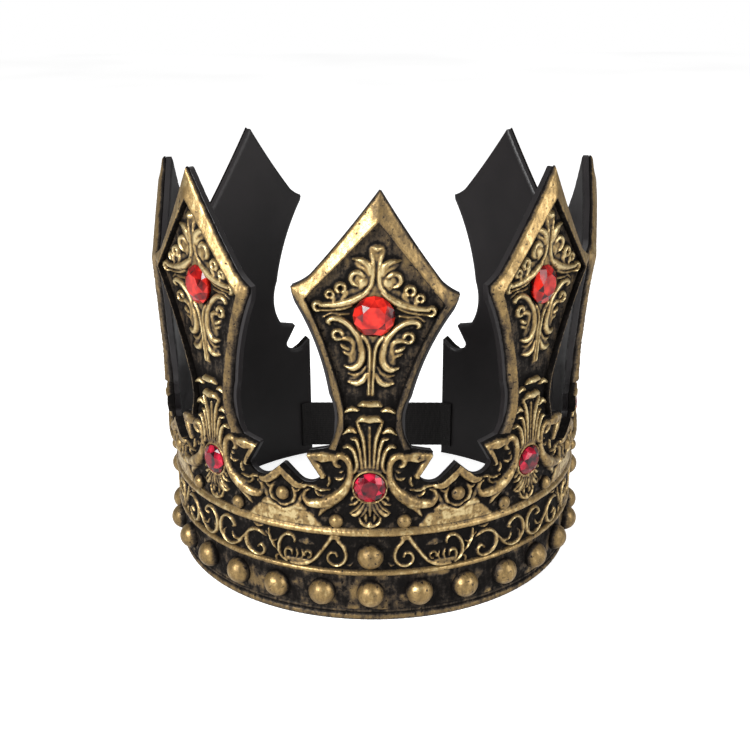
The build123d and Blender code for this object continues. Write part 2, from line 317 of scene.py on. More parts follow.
def three_point_arc(a, b, c, count=24):
    """Points of the circular arc from a through b to c, without c."""
    (ax, ay), (bx, by), (cx, cy) = a, b, c
    d = 2 * (ax * (by - cy) + bx * (cy - ay) + cx * (ay - by))
    sa, sb, sc = ax * ax + ay * ay, bx * bx + by * by, cx * cx + cy * cy
    ox = (sa * (by - cy) + sb * (cy - ay) + sc * (ay - by)) / d
    oy = (sa * (cx - bx) + sb * (ax - cx) + sc * (bx - ax)) / d
    start, middle, end = (math.atan2(y - oy, x - ox) for x, y in (a, b, c))
    sweep = (end - start) % math.tau
    if (middle - start) % math.tau > sweep:
        sweep -= math.tau
    radius = math.hypot(ax - ox, ay - oy)
    angles = start + sweep * np.linspace(0, 1, count, endpoint=False)
    return np.stack([ox + radius * np.cos(angles), oy + radius * np.sin(angles)], -1)


def unrolled(points):
    """Turns sideways distances on a flat drawing into arc length along the band."""
    points = np.array(points, float)
    points[:, 0] = ARC_R * np.arcsin(points[:, 0] / ARC_R)
    return points


def half_outline():
    """Right half of one sector's edge, from the spike's tip to the middle of the gable."""
    gable_x = ARC_R * math.sin(math.radians(SECTOR / 2))
    gable_v = 63.8 + (gable_x - 30.0) * (71.2 - 63.8) / (38.0 - 30.0)
    return unrolled(np.vstack([
        three_point_arc((0, TIP), (12.8, 165.1), (25.2, 148.6)),
        three_point_arc((25.2, 148.6), (28.2, 146.2), (31.9, 144.2)),
        [(31.9, 144.2)],
        three_point_arc((31.4, 141.6), (20.8, 121.0), (15.2, 101.5)),
        three_point_arc((15.2, 101.5), (13.0, 90.0), (17.3, 78.4)),
        [(17.3, 78.4), (25.9, 76.4), (25.3, 75.2)],
        three_point_arc((20.0, 66.6), (24.2, 62.6), (30.0, 63.8)),
        [(30.0, 63.8), (gable_x, gable_v)],
    ]))


def half_panel():
    """Right half of the edge between a spike's frame and its panel, from the apex to the neck."""
    return unrolled(np.vstack([
        [(0, 171.5)],
        three_point_arc((26.4, 140.3), (16.3, 116.8), (10.4, 96.6)),
        [(10.4, 96.6), (10.2, 88.0), (PANEL_FOOT, NECK)],
    ]))


def mirrored(edge):
    """Mirror image of an edge, running the same way round."""
    return edge[::-1] * (-1, 1)


def both_sides(half):
    """Whole edge from left to right from its right half."""
    return np.vstack([mirrored(half), half[1:]])


def drift(lean, v):
    """Sideways shift of a spike's middle at a height: it starts softly at the neck, then runs straight."""
    up = np.maximum(v - NECK, 0)
    return lean * np.where(up < LEAN_RUN, up**2 / (2 * LEAN_RUN), up - LEAN_RUN / 2)


def settled(points, name):
    """Leans and stretches the part of a sector's drawing above the neck as that spike does."""
    _, lean, tilt, rise = SPIKES[name]
    u, v = np.array(points, float).T
    turn = tilt * np.clip((v - NECK) / LEAN_RUN, 0, 1)
    lift = rise * np.maximum(v - STRETCH_FOOT, 0) / (TIP - STRETCH_FOOT)
    return np.stack([u * np.cos(turn) + drift(lean, v), v - u * np.sin(turn) + lift], -1)


def straightened(points, name):
    """Undoes settled(), near enough to look a point up on the drawing."""
    _, lean, tilt, rise = SPIKES[name]
    u, v = np.array(points, float).T
    stretch = 1 + rise / (TIP - STRETCH_FOOT)
    v = np.where(v > STRETCH_FOOT, STRETCH_FOOT + (v - STRETCH_FOOT) / stretch, v)
    turn = tilt * np.clip((v - NECK) / LEAN_RUN, 0, 1)
    across = u - drift(lean, v)
    v = v + across * np.sin(turn)
    return np.stack([u - drift(lean, v), v], -1)


def grown(half, leg_margin):
    """Right half outline of the foam, which shows past the gold down the legs of a spike."""
    along = np.gradient(half, axis=0)
    outward = np.stack([-along[:, 1], along[:, 0]], -1) / np.linalg.norm(along, axis=1)[:, None]
    v = half[:, 1]
    leg = ramp(v, 80, 90) * (1 - ramp(v, 138, 143))
    return half + outward * (leg_margin * leg)[:, None]


HALF_OUTLINE = half_outline()
HALF_PANEL = half_panel()

# Where the outline turns out into a thorn at the neck, and its height between base ornament and gable
NECK_POINT = int(np.argmin(np.hypot(HALF_OUTLINE[:, 0] - arc(10.49), HALF_OUTLINE[:, 1] - 78.4)))
VALLEY = HALF_OUTLINE[-8:-2]
SPLIT_V = float(np.interp(BASE_HALF, VALLEY[:, 0], VALLEY[:, 1]))

# Azimuth of the rear neck of a side spike, where the rings and the shell are parted
CUT = math.degrees((2 * arc(SECTOR) + HALF_OUTLINE[NECK_POINT, 0]) / ARC_R)


class Region:
    """Area of the unrolled band inside one closed edge."""

    def __init__(self, edge):
        self.edge = np.array(edge, float)
        self.dense = densify(edge, EDGE_GAP)
        self.tree = KDTree(len(self.dense))
        for i, (u, v) in enumerate(self.dense):
            self.tree.insert((u, v, 0), i)
        self.tree.balance()

    def inside(self, points):
        """Which points lie inside, by counting the edges crossed on the way out."""
        u, v = points[:, 0], points[:, 1]
        crossed = np.zeros(len(points), bool)
        for (au, av), (bu, bv) in zip(self.edge, np.roll(self.edge, -1, axis=0)):
            if av != bv:
                spans = (av > v) != (bv > v)
                crossed ^= spans & (u < (bu - au) * (v - av) / (bv - av) + au)
        return crossed

    def nearest(self, points):
        """Nearest point of the edge to each point, and how far it is."""
        found = [self.tree.find((u, v, 0)) for u, v in points]
        return self.dense[[f[1] for f in found]], np.array([f[2] for f in found])

    def plate(self, step):
        """Grid over the area: points, quads, and the distance of every point to the edge."""
        low, high = self.edge.min(0) - step, self.edge.max(0) + step
        columns, rows = (np.ceil((high - low) / step) + 1).astype(int)
        u, v = np.meshgrid(low[0] + step * np.arange(columns), low[1] + step * np.arange(rows))
        points = np.stack([u.ravel(), v.ravel()], -1)
        inside = self.inside(points)
        on_edge, distance = self.nearest(points)
        kept = (inside & (distance > 0.35 * step)).reshape(u.shape)
        cell = kept[:-1, :-1] | kept[1:, :-1] | kept[:-1, 1:] | kept[1:, 1:]
        quads = grid_quads(u.shape)[cell]
        loose = ~kept.ravel()
        points[loose] = on_edge[loose]
        distance[loose] = 0
        used, quads = np.unique(quads, return_inverse=True)
        return points[used], quads.reshape(-1, 4), distance[used]


# --- meshes


def grid_quads(shape):
    """Quads between the points of a grid."""
    index = np.arange(shape[0] * shape[1]).reshape(shape)
    return np.stack([index[:-1, :-1], index[:-1, 1:], index[1:, 1:], index[1:, :-1]], -1)


def tube_quads(index):
    """Quads between the rows of a grid of point numbers whose rows are closed loops."""
    after = np.roll(index, -1, axis=1)
    return np.stack([index[:-1], index[1:], after[1:], after[:-1]], -1).reshape(-1, 4).tolist()


def make_piece(name, points, faces, slot, tone=None, crease=42.0):
    """Mesh object from points in metres, smooth except across edges sharper than the crease."""
    mesh = bpy.data.meshes.new(name)
    mesh.from_pydata(np.asarray(points).tolist(), [], [list(map(int, f)) for f in faces])
    mesh.validate()
    mesh.shade_smooth()
    mesh.set_sharp_from_angle(angle=math.radians(crease))
    if tone is not None:
        attribute = mesh.attributes.new("gilt_and_shade", "FLOAT", "POINT")
        attribute.data.foreach_set("value", np.asarray(tone, np.float32))
    mesh.materials.append(FINISHES[slot])
    piece = bpy.data.objects.new(name, mesh)
    bpy.context.scene.collection.objects.link(piece)
    return piece


def closed_plate(quads, count):
    """Faces of a closed plate whose front points come first and whose back points follow."""
    edges = np.vstack([quads[:, [i, (i + 1) % 4]] for i in range(4)])
    key, back_key = edges[:, 0] * count + edges[:, 1], edges[:, 1] * count + edges[:, 0]
    rim = edges[~np.isin(key, back_key)]
    walls = np.stack([rim[:, 1], rim[:, 0], rim[:, 0] + count, rim[:, 1] + count], -1)
    return np.vstack([quads, quads[:, ::-1] + count, walls]), np.unique(rim)


def on_seam(points, half):
    """Which points lie where plates of one moulding meet: at the foot, the neck, or half off the middle."""
    foot, neck = np.abs(points[:, 1] - FOOT) < 0.05, np.abs(points[:, 1] - NECK) < 0.05
    return foot | neck | (np.abs(np.abs(points[:, 0]) - half) < 0.05)


def wrapped(name, points, faces, front_r, back_r, slot, tone=None):
    """Closed plate between two radii of the ring; the tone is its front's, and its back stays dark."""
    sheets = [on_ring(points[:, 0], radius, points[:, 1]) for radius in (front_r, back_r)]
    if tone is not None:
        tone = np.concatenate([tone, 0 * tone])
    return make_piece(name, np.vstack(sheets), faces, slot, tone)


def relief_plate(name, region, centre, read, edge_tone=0.12, seam=BASE_HALF):
    """Closed gold plate over a region whose front follows a height map.

    centre is the arc length it sits at, and seam the distance from there to the next plate.
    """
    points, quads, _ = region.plate(PLATE_STEP)
    height, tone = read(points)
    faces, rim = closed_plate(quads, len(points))
    rim = rim[~on_seam(points[rim], seam)]
    tone[rim] = np.minimum(tone[rim], edge_tone)
    front_r = SHELL_OUT + np.maximum(height, 0.1)
    return wrapped(name, points + (centre, 0), faces, front_r, PLATE_BACK, "antique_gold", tone)


def grid_band(name, u0, u1, v0, v1, read):
    """Closed gold plate over a straight stretch of the band, whose front follows read(u, v)."""
    columns, rows = int((u1 - u0) / PLATE_STEP) + 2, int((v1 - v0) / PLATE_STEP) + 2
    u, v = np.meshgrid(np.linspace(u0, u1, columns), np.linspace(v0, v1, rows))
    points = np.stack([u.ravel(), v.ravel()], -1)
    height, tone = read(*points.T)
    faces, _ = closed_plate(grid_quads(u.shape).reshape(-1, 4), len(points))
    front_r = SHELL_OUT + np.maximum(height, 0.02)
    return wrapped(name, points, faces, front_r, PLATE_BACK, "antique_gold", tone)


def bend_with_wing(node, piece):
    """Has a piece stand for a CAD node, with its placement baked into its mesh."""
    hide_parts(node)
    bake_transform(piece)


def stand_for(node, piece, body):
    """Has a piece stand for a CAD node and ride on a body."""
    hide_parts(node)
    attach(piece, body)


# --- relief of one sector


def draw_spike_panel(r):
    """Leaves, curls and stem round the upper stone, with heights from the stone's middle."""
    bead = r.stroke
    # lens-shaped bud over a stem that splits and opens round the stone
    bead([(0, 25.4), (0, 22.0), (0, 16)], (4.8, 4.6, 3.2), 0.7, power=2)
    bead([(-1.9, 27.0), (0, 26.6), (1.9, 27.0)], (0.6, 2.0, 0.6), 1.7)
    bead([(1.9, 24.5), (1.3, 20), (1.3, 15), (2.0, 11.5), (4.0, 9.0)], (0.8, 1.4, 1.5, 1.6, 1.2), 1.5)
    bead([(0, 15), (0, 11), (0, 8.5)], (1.4, 3.6, 6.0), 0.8, power=2)
    # upper leaf and its lower lobe
    bead([(2.2, 17.0), (3.2, 20.0), (5.4, 21.6), (9.0, 22.2)], (2.0, 2.4, 1.8, 0.5), 1.7)
    bead([(2.6, 16.5), (4.4, 18.4), (7.2, 19.6)], (1.8, 1.6, 0.5), 1.3)
    # second leaf: a curl with a belly
    bead([(4.4, 15.6), (6.4, 17.0), (8.7, 16.4), (9.5, 14.2), (8.4, 12.2), (6.9, 11.6)],
         (1.2, 1.6, 1.6, 1.5, 1.2, 0.8), 1.6)
    bead([(2.6, 15.0), (4.6, 13.2), (5.4, 11.4)], (1.2, 3.4, 2.0), 1.3)
    # ring curls that stand on the main arm
    r.ring((13.2, 10.4), 1.7, 1.3, 1.6, start=-60, turn=300)
    bead([(11.6, 10.8), (11.2, 8.2), (12.6, 5.8)], (1.0, 2.0, 1.4), 1.3)
    r.ring((17.2, 7.6), 1.4, 1.1, 1.4, start=-60, turn=300)
    bead([(16.0, 8.0), (15.6, 5.6), (16.2, 4.2)], (0.8, 1.6, 1.2), 1.1)
    # main arm, its end curl and the thin line beside it
    bead([(2.8, 9.3), (5.4, 7.6), (8.4, 5.9), (12, 4.6), (16, 3.7), (20.6, 3.3)],
         (1.4, 2.2, 2.6, 2.4, 2.0, 1.6), 2.0)
    bead([(20.2, 3.6), (22.2, 4.2), (23.2, 2.8), (22.3, 1.2), (20.8, 1.2)], (1.2, 1.4, 1.4, 1.2, 0.8), 1.8)
    bead([(8.6, 3.6), (12, 2.3), (16, 1.6), (20.4, 1.2)], (0.7, 1.0, 1.0, 0.7), 1.2)
    bead([(9.6, 0.2), (13, 0.0), (16.5, 0.2), (19.5, -1.6)], (0.6, 0.9, 0.9, 0.5), 0.9)
    # lower arm with a hooked end
    bead([(7.2, -6.8), (9.4, -4.2), (12.4, -2.2), (15.6, -1.7), (17.6, -3.0), (16.8, -4.2)],
         (1.3, 1.8, 1.9, 1.8, 1.4, 0.8), 1.7)
    # stem below the stone
    bead([(3.9, -8.2), (2.2, -10.6), (1.2, -13.6), (0.9, -19), (0.8, -32)], (1.5, 1.4, 1.3, 1.1, 1.0), 1.6)
    bead([(0, -9.0), (0, -12)], (4.2, 1.6), 0.7, power=2)
    # big leaf that hangs from the lower arm and ends in a bright crescent
    bead([(8.0, -5.6), (5.6, -9.0), (4.3, -13), (4.0, -17), (5.2, -20), (7.4, -21.4), (10.4, -20.8)],
         (1.6, 2.2, 2.4, 2.4, 2.4, 2.2, 0.7), 1.8)
    bead([(7.0, -10.6), (7.4, -13.6), (8.4, -16.6), (7.2, -19)], (1.8, 1.6, 1.2, 0.8), 1.2)
    r.ring((13.6, -8.2), 1.8, 1.3, 1.6, start=-120, turn=290)
    bead([(12.6, -9.8), (10.4, -9.4), (8.2, -10.2), (7.0, -12.6)], (1.0, 1.7, 1.8, 1.2), 1.5)
    bead([(9.4, -13.8), (11.2, -13.0), (12.4, -12.2)], (1.4, 1.4, 0.5), 1.3)
    bead([(8.6, -16.0), (10.4, -15.4), (11.6, -14.8)], (1.3, 1.2, 0.5), 1.1)
    # fine leaf lines and the lowest crescent
    bead([(2.2, -20.5), (4.0, -23.2), (6.6, -24.2), (9.0, -23.8)], (0.9, 1.2, 1.1, 0.5), 1.0)
    bead([(1.8, -23.5), (3.2, -26.2), (5.6, -27.6), (9.0, -27.2)], (1.2, 2.0, 2.0, 0.6), 1.6)


def draw_masses(r):
    """Low rounded masses that the leaves of the panel rise from, with heights from the stone's middle."""

    def mass(points, width, top=0.7):
        r.stroke(points, width, top, power=1.5)

    mass([(2.4, 17.2), (4.8, 19.6), (7.6, 20.8)], (3.0, 4.2, 1.4))
    mass([(2.8, 14.6), (5.4, 14.6), (7.8, 13.8)], (4.0, 5.0, 3.4), 0.9)
    mass([(3.0, 10.4), (6.0, 9.0), (11.0, 7.2), (16.5, 6.0)], (2.4, 3.4, 4.4, 3.0))
    mass([(8.6, -5.4), (11.4, -4.2), (14.4, -3.6)], (3.0, 3.6, 2.0), 0.6)
    mass([(6.2, -8.0), (6.4, -13.0), (6.6, -18.6)], (4.0, 5.4, 4.4), 0.8)
    mass([(10.2, -8.6), (12.4, -8.4)], (4.0, 3.2), 0.7)
    mass([(2.6, -22.6), (5.2, -25.6), (7.6, -26.4)], (3.0, 3.6, 1.8))
    mass([(0, -9), (0, -18), (0, -32)], (5.0, 3.6, 3.2), 0.5)


def draw_neck(r):
    """Two collars, their brackets and the fan of flutes below them."""
    bead = r.stroke
    bead([(0, 98.4), (2.6, 98.5), (4.6, 97.6)], (2.4, 2.2, 0.9), 2.2)
    bead([(4.9, 95.6), (7.2, 96.2), (10.6, 94.6)], (1.2, 2.0, 1.0), 1.8)
    bead([(0, 91.9), (2.8, 92.2), (5.2, 91.0)], (2.8, 2.5, 1.0), 2.3)
    bead([(5.4, 86.2), (7.8, 87.4), (11.0, 85.4)], (1.2, 2.2, 1.0), 1.8)
    bead([(0, 90), (0, 84), (0, 76), (0, 71)], (5.0, 4.4, 4.6, 8.0), 0.7, power=3)
    bead([(0, 88.5), (0, 80), (0, 71.5)], (1.0, 1.2, 1.2), 1.4)
    bead([(5.0, 90.4), (3.9, 87.5), (2.6, 83.5), (2.0, 78), (1.6, 71.5)], (1.0, 1.5, 1.5, 1.4, 1.2), 1.7)
    bead([(7.4, 83.4), (5.4, 83.0), (4.2, 79.5), (3.6, 75.5), (3.2, 71)], (0.9, 1.4, 1.5, 1.5, 1.4), 1.6)
    bead([(10.4, 79.6), (8.6, 80.3), (6.7, 78.8), (5.6, 75.8), (5.1, 72), (6.2, 69)],
         (0.9, 1.5, 1.6, 1.6, 1.7, 1.2), 1.9)
    bead([(1.2, 70.6), (4.0, 70.2)], 3.4, 1.0, power=2)


def draw_scroll(r):
    """The C-shaped scroll beside the lower stone, with the thorn above it and the fern inside it."""
    bead = r.stroke
    bead([(12.4, 71.0), (13.8, 71.9), (14.2, 74.2), (12.2, 75.9), (9.4, 74.7), (7.9, 71.2), (8.1, 66.6),
          (9.9, 62.0), (13.2, 58.3), (17.2, 55.6), (21.8, 54.1), (25.6, 54.0), (27.6, 56.3),
          (27.0, 59.0), (25.2, 60.0)],
         (1.2, 1.8, 2.4, 2.6, 2.6, 2.5, 2.6, 3.4, 4.4, 4.6, 3.8, 2.8, 1.7, 1.5, 1.0), 2.6)
    bead([(16.5, 54.0), (19.4, 51.6), (21.6, 48.2)], (2.6, 2.2, 0.6), 1.8)
    bead([(14.8, 75.2), (19.5, 75.0), (25.0, 75.1)], (2.6, 3.8, 1.8), 2.0, power=3)
    bead([(24.8, 74.6), (22.2, 70.8), (19.6, 66.6)], (2.6, 3.2, 2.4), 1.8, power=3)
    bead([(16.9, 66.0), (16.6, 64.0), (17.4, 62.2)], (0.8, 1.1, 0.9), 1.3)
    bead([(26.6, 61.6), (23.4, 61.4), (20.4, 60.2), (16.4, 60.6)], (0.7, 1.0, 1.1, 0.7), 1.4)
    bead([(22.4, 61.6), (22.5, 59.4), (21.0, 57.9), (18.4, 57.9)], (0.7, 1.0, 1.1, 0.7), 1.3)
    bead([(10.2, 67.8), (11.0, 66.0), (12.8, 65.4), (14.4, 66.0)], (0.7, 1.2, 1.4, 0.6), 1.1)
    bead([(10.6, 69.4), (11.6, 68.6), (12.6, 68.4)], (0.6, 1.0, 0.5), 0.9)
    bead([(12.2, 62.6), (13.4, 61.0), (15.0, 61.6)], (0.8, 1.6, 0.6), 0.9)


def draw_palmette(r):
    """Collar of the lower stone and the small inverted palmette that hangs from it."""
    bead = r.stroke
    r.ring((0, SMALL_GEM_V), 7.0, 1.1, 1.3)
    bead([(5.6, 58.2), (7.2, 57.4), (7.6, 55.8)], (0.8, 1.3, 0.6), 1.2)
    bead([(4.4, 56.8), (6.2, 55.0), (8.6, 54.2)], (0.9, 1.6, 0.6), 1.3)
    bead([(3.2, 56.2), (5.2, 53.2), (8.2, 50.6)], (0.8, 1.2, 0.7), 1.6)
    bead([(1.8, 56.0), (3.6, 52.6), (6.0, 50.0), (7.8, 50.2)], (1.0, 1.8, 1.8, 0.8), 1.5)
    bead([(0.8, 55.8), (1.8, 52.4), (3.8, 49.2)], (1.0, 1.6, 0.8), 1.5)
    bead([(0, 56.4), (0, 52.4), (0, 49.4)], (1.4, 1.7, 0.8), 1.7)
    bead([(1.6, 50.6), (1.9, 48.4), (1.5, 46.6)], (0.8, 1.2, 0.8), 1.2)
    bead([(4.4, 48.6), (3.6, 46.4), (1.6, 45.2), (0, 45.0)], (0.8, 1.4, 1.6, 1.8), 1.6)
    bead([(0, 46.0), (0, 43.9)], (1.8, 1.2), 1.2)


def draw_gable(r):
    """Half of a gable: the raised chevron, the leaf beside its stud and the plinth below."""
    bead = r.stroke
    bead([(27.4, 61.4), (30.4, 62.0), (33.6, 64.5), (37.4, 67.8), (41.2, 64.5)],
         (2.0, 3.2, 3.6, 3.8, 3.6), 2.2, power=4)
    bead([(28.6, 60.6), (31.0, 58.4), (33.4, 60.4)], (0.8, 1.2, 0.6), 1.3)
    bead([(33.0, 59.4), (31.6, 56.6), (32.6, 53.6), (34.6, 52.2)], (0.8, 1.6, 1.6, 0.6), 1.4)
    bead([(28.6, 57.6), (29.6, 54.6), (31.8, 52.4)], (0.8, 2.0, 1.0), 1.2)
    bead([(27.2, 50.6), (30.2, 51.8), (33.2, 50.4)], (1.2, 3.2, 1.0), 1.7)
    bead([(34.0, 52.4), (36.4, 51.2), (39.0, 51.2)], (0.8, 1.4, 1.4), 1.0)


def sector_relief(gem):
    """Height map of one sector above the upper rail; the left half mirrors the right."""
    rng = np.random.default_rng(SEED + int(gem))
    r = Relief((0, 40), (FOOT - 1, 173), ground=0.8, tone=0.04, fullness=1.38, boldness=1.3)
    r.base_v = gem
    draw_masses(r)
    draw_spike_panel(r)
    r.fullness, r.base_v = 1.25, 0.0
    draw_neck(r)
    draw_scroll(r)
    draw_palmette(r)
    draw_gable(r)
    # speckled plinth along the foot, from the scroll to the gable
    edge_v = 50.6 + 1.2 * np.sin(r.u * 0.45)
    start_u = 19.0 + 0.9 * (r.v - 44)
    plinth = ramp(r.u, start_u, start_u + 2.5) * (1 - ramp(r.v, edge_v - 0.6, edge_v + 0.6))
    r.h = np.maximum(r.h, r.ground + 1.0 * plinth)
    r.roughen(rng, plinth, 0.22)
    r.tone += 0.36 * plinth
    # rubbed patches and fine texture on the ground between the beads
    patches = ramp(value_noise(rng, r.h.shape, 9) + 0.5 * value_noise(rng, r.h.shape, 3.5), 0.62, 1.15)
    lower = 1 - ramp(r.v, 92, 99)
    r.tone += lower * patches * (0.16 + 0.16 * (1 - ramp(r.v, 52, 66)))
    r.roughen(rng, 0.55 * lower * (1 - plinth), 0.5)
    # the panel's ground keeps a rubbed brown tone, deepest near the lower relief
    panel = ramp(r.v, 97, 104)
    mottle = value_noise(rng, r.h.shape, 14) - 0.5
    r.tone += panel * (0.34 + 0.20 * mottle) * (0.6 + 0.4 * ramp(r.v, 118, 150))
    r.tone += (1 - panel) * ramp(r.v, 66, 74) * (1 - ramp(r.u, 5.5, 7.0)) * 0.12
    r.roughen(rng, 0.2 * panel, 0.5)
    r.finish()
    return r


def frieze_relief():
    """Height map of the scrolling frieze from a frieze stud to the mirror line an eighth of a turn away."""
    r = Relief((-2, 78), (FRIEZE_LOW - 1, FRIEZE_HIGH + 1), ground=0.5, tone=0.04, boldness=1.25)
    bead = r.stroke
    # tight spiral hanging from the rail, and the long tail that sweeps from it
    bead([(13.8, 30.0), (14.6, 31.7), (16.6, 31.4), (17.8, 29.2), (16.8, 26.8), (14.0, 25.8), (11.2, 27.3),
          (10.0, 30.6), (11.0, 34.4), (13.2, 37.4), (14.0, 40.2)],
         (1.2, 1.3, 1.4, 1.4, 1.5, 1.6, 1.6, 1.7, 1.8, 2.0, 2.2), 1.5)
    bead([(15.2, 40.2), (17.0, 37.0), (19.6, 33.2), (22.4, 29.2), (25.6, 26.2), (29.4, 24.9), (34, 24.8)],
         (2.2, 2.0, 1.8, 1.8, 2.0, 2.0, 1.6), 1.5)
    bead([(13.4, 38.8), (15.4, 38.9)], 2.4, 1.2, power=2)
    bead([(36.0, 25.0), (38.6, 27.4), (39.4, 31.0), (38.3, 35.0), (35.8, 37.6), (33.2, 37.6), (31.9, 35.6),
          (32.3, 34.2)], (1.2, 1.5, 1.6, 1.6, 1.6, 1.5, 1.3, 0.9), 1.5)
    # leafy mass inside the tail
    bead([(25.6, 26.6), (30.0, 26.0), (35.4, 26.4)], (2.0, 3.4, 2.2), 1.1, power=2)
    r.ring((26.2, 29.6), 1.5, 1.0, 1.3, start=-30, turn=300)
    bead([(29.0, 31.2), (28.4, 29.0), (29.4, 27.0)], (0.7, 1.2, 0.9), 1.2)
    bead([(31.6, 31.4), (30.8, 29.2), (31.6, 27.0)], (0.7, 1.2, 0.9), 1.2)
    bead([(33.4, 28.0), (33.6, 30.4), (35.4, 31.0), (36.6, 29.0), (36.2, 26.4)],
         (0.8, 1.2, 1.4, 1.4, 1.0), 1.4)
    # flat leaf under the rail and the sprig between the two scrolls
    bead([(23.4, 34.4), (27.0, 35.4), (30.6, 35.0)], (0.8, 3.6, 1.0), 0.55, power=2)
    bead([(39.8, 28.6), (42.0, 31.4), (43.8, 35.0), (44.2, 38.2)], (0.8, 1.3, 1.2, 0.8), 1.4)
    bead([(40.6, 33.6), (42.4, 32.8)], 0.9, 1.0)
    bead([(45.8, 36.4), (44.4, 35.4)], 0.9, 1.0)
    bead([(39.4, 27.2), (40.9, 26.2), (41.0, 24.4)], (0.8, 1.2, 0.8), 1.2)
    # second spiral, its tail and the closing scroll
    bead([(50.0, 28.2), (48.2, 29.8), (46.6, 27.8), (47.8, 25.4), (51.0, 24.6), (54.4, 26.2), (56.2, 29.6),
          (55.4, 33.4), (52.4, 35.8), (48.8, 36.2), (45.6, 34.2)],
         (1.2, 1.3, 1.4, 1.5, 1.6, 1.9, 2.0, 1.8, 1.9, 2.0, 0.9), 1.5)
    bead([(47.2, 38.8), (49.6, 38.2), (52.0, 38.8)], (0.8, 1.8, 0.8), 1.0)
    bead([(50.4, 36.4), (54.4, 34.4), (57.8, 30.8), (60.2, 28.6), (63.4, 28.4), (64.8, 30.4)],
         (1.4, 1.5, 1.4, 1.3, 1.2, 0.8), 1.4)
    bead([(58.4, 29.8), (60.8, 27.2), (64.4, 25.2), (68.2, 25.4), (71.2, 28.2), (72.0, 32.0), (70.6, 35.6),
          (67.6, 37.6), (64.4, 36.8), (62.8, 34.4), (64.4, 33.4)],
         (1.0, 1.4, 1.6, 1.8, 1.8, 1.7, 1.6, 1.6, 1.5, 1.4, 1.0), 1.5)
    bead([(69.2, 26.8), (70.0, 29.4), (68.8, 31.0)], (0.8, 1.1, 0.6), 1.1)
    # small curl by the frieze stud
    bead([(7.2, 27.4), (8.6, 26.0), (10.4, 26.6)], (0.6, 0.9, 0.6), 0.7)
    rng = np.random.default_rng(SEED)
    patches = ramp(value_noise(rng, r.h.shape, 8) + 0.5 * value_noise(rng, r.h.shape, 3.5), 0.62, 1.15)
    r.tone += (0.14 + 0.10 * ramp(np.abs(r.v - 32), 4, 8)) * patches
    r.roughen(rng, 0.5, 0.5)
    r.finish()
    return r


# --- pieces


def read_frame(outer, inner, rng, wear_and_shade):
    """Reader of a spike's frame: one bevel rising to a ridge along the panel, rubbed darker down the legs.

    The last argument is how much darker the right side is painted than the left: painted shade, as the
    light falls from the left.
    """
    def read(points):
        _, to_outer = outer.nearest(points)
        _, to_inner = inner.nearest(points)
        across = to_outer / (to_outer + to_inner + 1e-6)
        height = 1.3 + 2.7 * across
        height -= 0.8 * np.clip(1 - to_outer / 1.0, 0, 1) ** 2
        height -= 0.6 * np.clip(1 - to_inner / 0.7, 0, 1) ** 2
        leg = 1 - ramp(points[:, 1], 126, 146)
        height += (0.10 + 0.22 * leg) * (rng.random(len(points)) - 0.5)
        # painted shade: the right side of the frame is painted darker, as it faces away from the light from
        # the left
        tone = 0.76 - 0.20 * leg - wear_and_shade * ramp(points[:, 0], 0, 6)
        tone -= 0.34 * np.clip(1 - to_outer / 0.9, 0, 1)
        tone -= 0.30 * np.clip(1 - to_inner / 0.5, 0, 1)
        return height, np.clip(tone, 0, 1)
    return read


def build_spike(name, reliefs):
    """Frame, panel, base ornament and two stones of one spike."""
    sector, lean = SPIKES[name][:2]
    centre = arc(SECTOR) * sector
    is_front = name == "front"
    gem = FRONT_GEM_V if is_front else GEM_V
    body = {-3: WINGS[-1], 3: WINGS[1]}.get(sector, "front")
    relief = reliefs[gem]

    def plate(look, node, edge, read, edge_tone=0.12):
        piece = relief_plate(f"{name}_{look}_look", Region(edge), centre, read, edge_tone)
        stand_for(f"{name}_{node}", piece, body)

    def gem_stone(look, node, u, v, radius, twist, slot):
        stand_for(f"{name}_{node}", stone(f"{name}_{look}_look", u, v, radius, twist, slot), body)

    outer = settled(both_sides(HALF_OUTLINE[:NECK_POINT + 1]), name)
    inner = settled(both_sides(HALF_PANEL), name)
    # painted shade on the right side of the frame, strongest on the front spike
    wear_and_shade = 0.17 if is_front else 0.05
    rng = np.random.default_rng(SEED + sector + 10)
    read = read_frame(Region(open_footed(outer)), Region(open_footed(inner)), rng, wear_and_shade)
    plate("frame", "spike_frame", np.vstack([outer, inner[::-1]]), read)
    plate("panel", "spike_panel", inner, lambda at: relief.read_folded(straightened(at, name)), 0.02)

    side = HALF_OUTLINE[NECK_POINT:]
    side = side[side[:, 0] < BASE_HALF]
    half = np.vstack([(PANEL_FOOT, NECK), side, (BASE_HALF, SPLIT_V), (BASE_HALF, FOOT)])
    plate("base", "base_ornament", np.vstack([mirrored(half), half]), relief.read_folded, 0.10)

    gem_u = centre + float(drift(lean, gem))
    gem_stone("gem", "spike_gem", gem_u, gem, GEM_R, 0.35 + sector, "orange_red_gem")
    gem_stone("small_gem", "base_gem", centre, SMALL_GEM_V, SMALL_GEM_R, 0.9 * sector, "crimson_gem")


def open_footed(edge):
    """The edge closed far below, so that its open foot doesn't count as an edge."""
    return np.vstack([edge, [(edge[-1, 0], -60.0), (edge[0, 0], -60.0)]])


